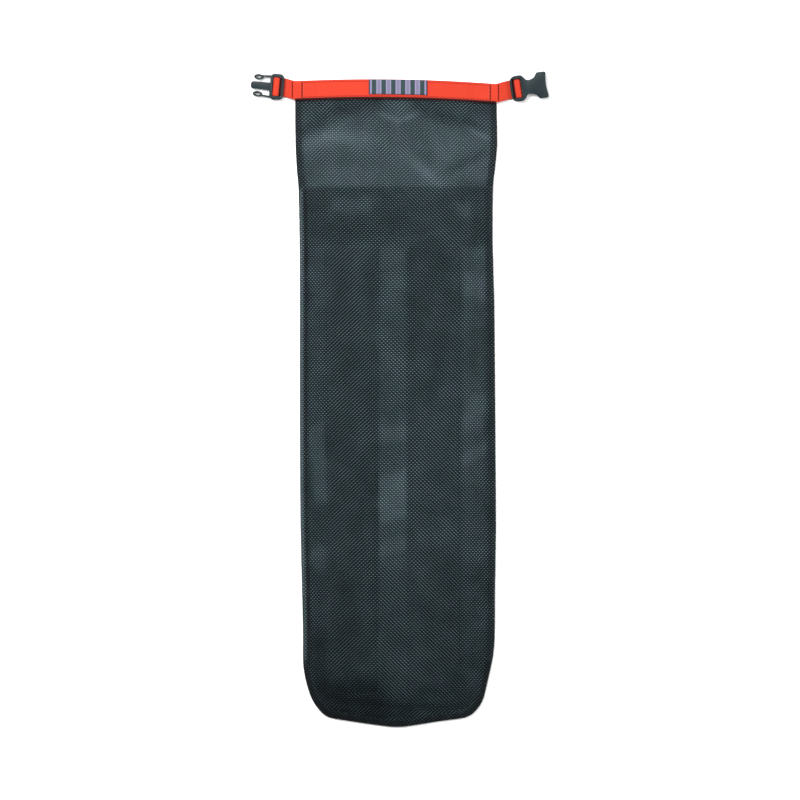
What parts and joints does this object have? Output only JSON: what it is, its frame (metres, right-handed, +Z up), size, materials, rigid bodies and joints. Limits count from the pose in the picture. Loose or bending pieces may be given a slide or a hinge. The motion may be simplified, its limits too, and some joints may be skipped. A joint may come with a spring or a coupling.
{
  "type": "paddle bag",
  "caption": "Long flat mesh sack for a take-apart paddle, with inner shaft sleeves, a webbing-bound mouth and a side-release buckle that closes the rolled top.",
  "frame": {"origin": "on the floor, under the middle of the bag's whole box as it lies on its back", "axes": "+X to the right across the mouth as seen from above, +Y along the bag towards its mouth, +Z up out of the front panel"},
  "size_m": [0.4022, 0.885, 0.0264],
  "materials": {
    "mesh": "dark slate coated open mesh, slight sheen",
    "inner_mesh": "dark slate coated open mesh",
    "seam_tape": "black seam tape",
    "webbing": "bright red woven webbing",
    "label": "woven patch, violet and dark teal",
    "buckle_plastic": "dark slate moulded plastic, satin"
  },
  "bodies": {
    "root": {"front_panel": "mesh", "back_panel": "mesh", "divider_panel": "inner_mesh", "left_shaft_sleeve": "inner_mesh", "right_shaft_sleeve": "inner_mesh", "left_side_seam": "seam_tape", "right_side_seam": "seam_tape", "bottom_seam": "seam_tape", "mouth_band": "webbing", "label_patch": "label", "male_buckle": "buckle_plastic", "female_buckle": "buckle_plastic"}
  },
  "joints": []
}
